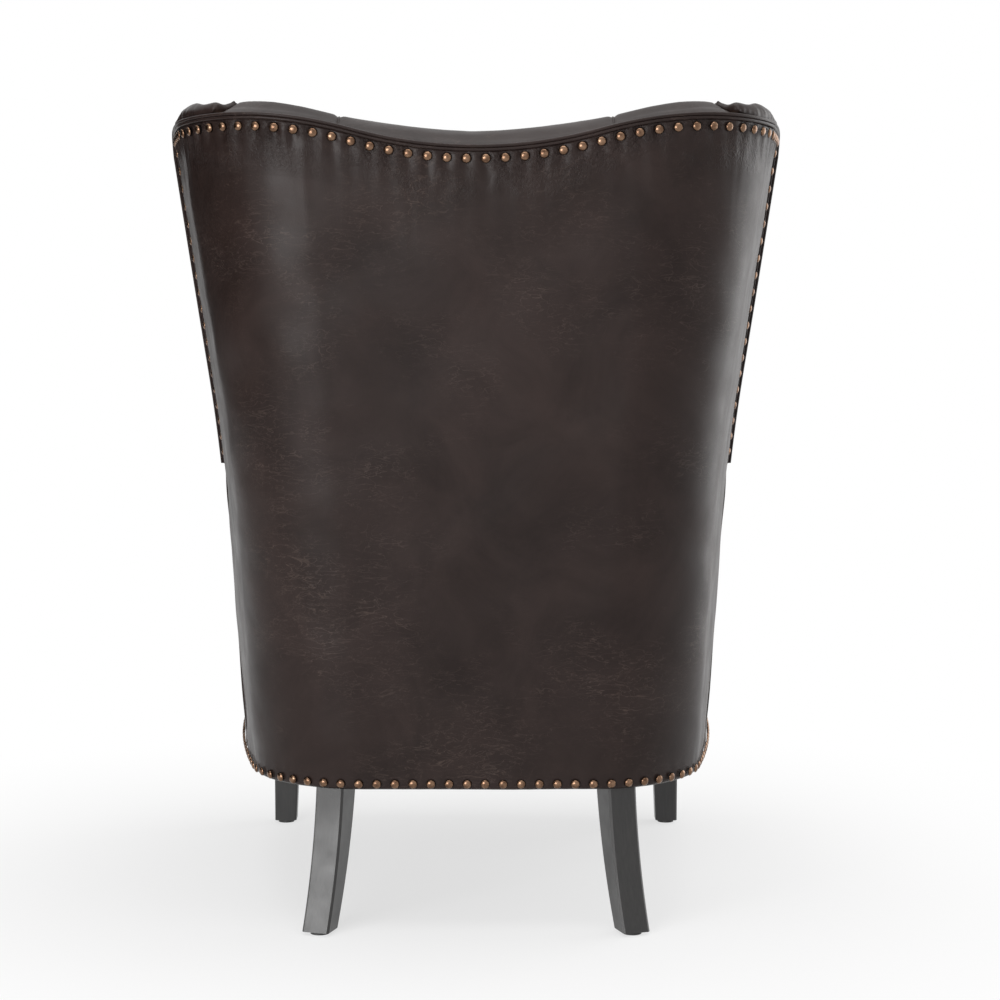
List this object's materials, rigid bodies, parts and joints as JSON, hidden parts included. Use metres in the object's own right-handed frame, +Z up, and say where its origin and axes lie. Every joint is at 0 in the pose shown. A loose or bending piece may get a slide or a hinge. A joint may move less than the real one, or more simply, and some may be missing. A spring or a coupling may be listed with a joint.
{
  "type": "high-back chair",
  "caption": "High-back wing chair in brown leather with a wrapped curved back, nailed edges, low arms, a loose seat cushion and square black legs.",
  "frame": {"origin": "middle of the chair's footprint, on the floor", "axes": "+Z up, -Y the way the sitter faces, +X to the sitter's left"},
  "size_m": [0.723, 0.7572, 0.956],
  "materials": {
    "brown_leather": "glossy pull-up leather",
    "frame_wood": "raw sawn hardwood",
    "backing_board": "plain fibre board",
    "antique_brass": "antiqued",
    "black_lacquer": "satin black lacquer",
    "jute_webbing": "woven",
    "dust_cloth": "non-woven",
    "deck_cloth": "woven over foam",
    "bolt_steel": "zinc plated",
    "glide_plastic": "matte"
  },
  "bodies": {
    "chair": {"arm_board_left": "backing_board", "arm_board_right": "backing_board", "arm_front_panel_left": "brown_leather", "arm_front_panel_right": "brown_leather", "arm_nails_left": "antique_brass", "arm_nails_right": "antique_brass", "arm_pad_left": "brown_leather", "arm_pad_right": "brown_leather", "arm_post_left": "frame_wood", "arm_post_right": "frame_wood", "arm_rail_left": "frame_wood", "arm_rail_right": "frame_wood", "arm_welt_left": "brown_leather", "arm_welt_right": "brown_leather", "back_board": "backing_board", "back_post_left": "frame_wood", "back_post_right": "frame_wood", "back_seat_rail": "frame_wood", "back_webbing": "jute_webbing", "base_nails": "antique_brass", "corner_blocks": "frame_wood", "crest_nails": "antique_brass", "crest_rail": "frame_wood", "double_welt": "brown_leather", "dust_sheet": "dust_cloth", "front_border": "brown_leather", "front_leg_left": "black_lacquer", "front_leg_right": "black_lacquer", "front_seat_rail": "frame_wood", "glides": "glide_plastic", "inside_back_pad": "brown_leather", "inside_wing_pad_left": "brown_leather", "inside_wing_pad_right": "brown_leather", "leg_bolts": "bolt_steel", "lower_back_rail": "frame_wood", "outer_arm_cover_left": "brown_leather", "outer_arm_cover_right": "brown_leather", "outer_back_cover": "brown_leather", "rear_leg_left": "black_lacquer", "rear_leg_right": "black_lacquer", "seat_deck": "deck_cloth", "seat_webbing": "jute_webbing", "side_seat_rail_left": "frame_wood", "side_seat_rail_right": "frame_wood", "tuft_buttons": "brown_leather", "wing_board_left": "frame_wood", "wing_board_right": "frame_wood", "wing_nails_left": "antique_brass", "wing_nails_right": "antique_brass"},
    "cushion": {"seat_cushion": "brown_leather"}
  },
  "joints": [
    {"name": "cushion_lift", "type": "slide", "parent": "chair", "child": "cushion", "axis": [0, 0, 1], "range_m": [0, 0.25]}
  ]
}
